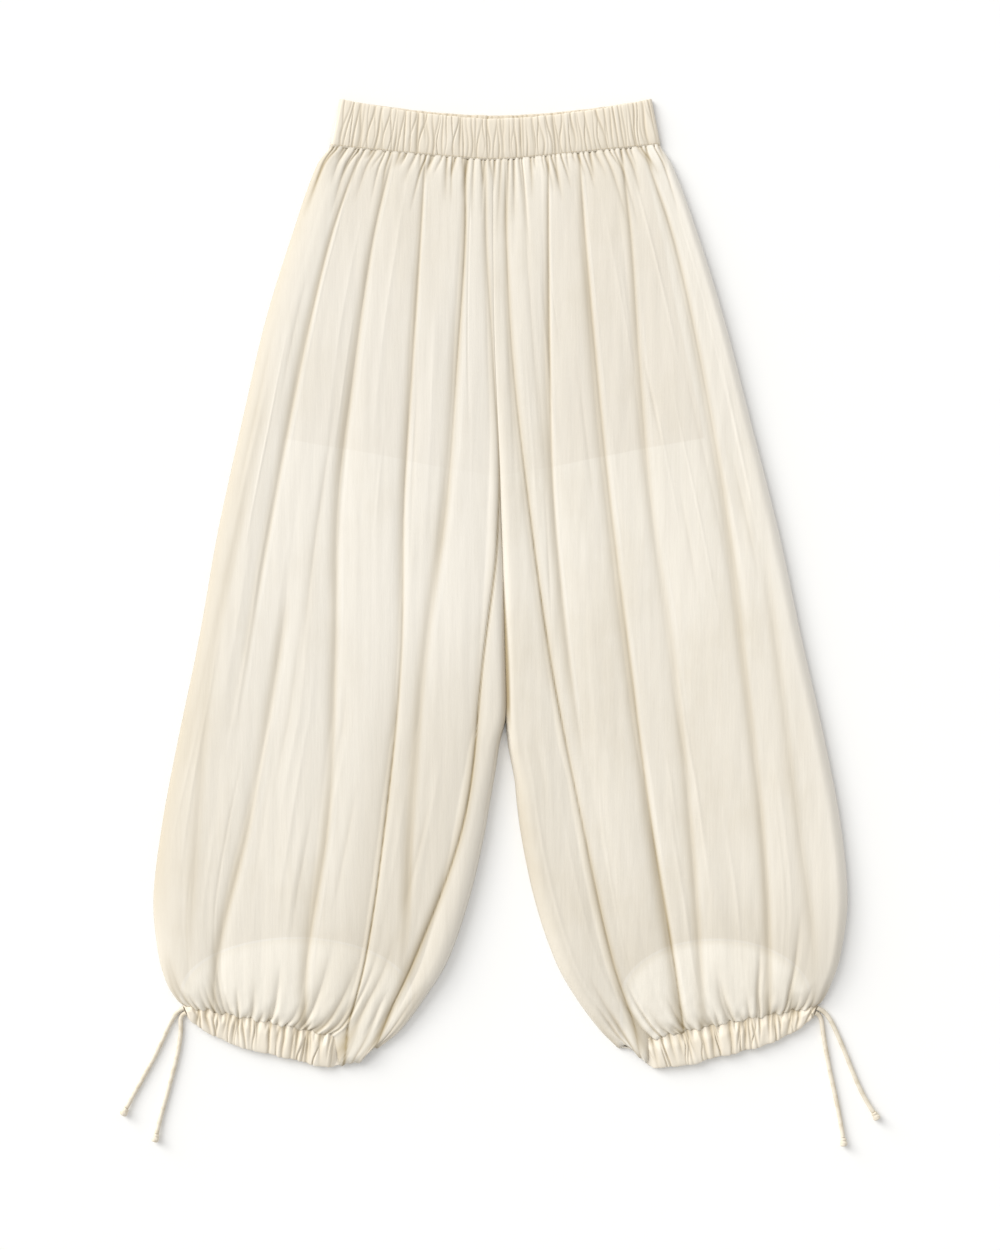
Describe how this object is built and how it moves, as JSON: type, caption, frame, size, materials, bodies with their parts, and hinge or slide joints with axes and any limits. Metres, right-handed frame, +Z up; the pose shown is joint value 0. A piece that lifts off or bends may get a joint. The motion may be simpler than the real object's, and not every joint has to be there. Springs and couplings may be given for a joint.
{
  "type": "harem trousers laid flat",
  "caption": "Sheer cloth harem trousers laid flat: gathered elastic waistband, balloon legs, short lining and gathered cuffs with knotted drawcords.",
  "frame": {"origin": "on the surface, under the middle of the laid garment without its cord ends", "axes": "+Z up from the surface, +Y to the waistband, +X to the wearer's left leg"},
  "size_m": [0.7861, 1.0817, 0.0171],
  "materials": {
    "outer_cloth": "matt sheer crepe chiffon with a faint sheen",
    "lining_cloth": "matt opaque plain weave",
    "facing_cloth": "matt plain weave",
    "cord": "matt rolled cloth cord"
  },
  "bodies": {
    "root": {"waistband_front": "outer_cloth", "waistband_back": "outer_cloth", "leg_front_right": "outer_cloth", "leg_front_left": "outer_cloth", "leg_back_right": "outer_cloth", "leg_back_left": "outer_cloth", "cuff_front_right": "outer_cloth", "cuff_front_left": "outer_cloth", "cuff_back_right": "outer_cloth", "cuff_back_left": "outer_cloth", "facing_right": "facing_cloth", "facing_left": "facing_cloth", "lining_front_right": "lining_cloth", "lining_front_left": "lining_cloth", "lining_back_right": "lining_cloth", "lining_back_left": "lining_cloth", "cord_right_1": "cord", "cord_right_2": "cord", "cord_left_1": "cord", "cord_left_2": "cord", "knot_right_1": "cord", "knot_right_2": "cord", "knot_left_1": "cord", "knot_left_2": "cord"}
  },
  "joints": []
}
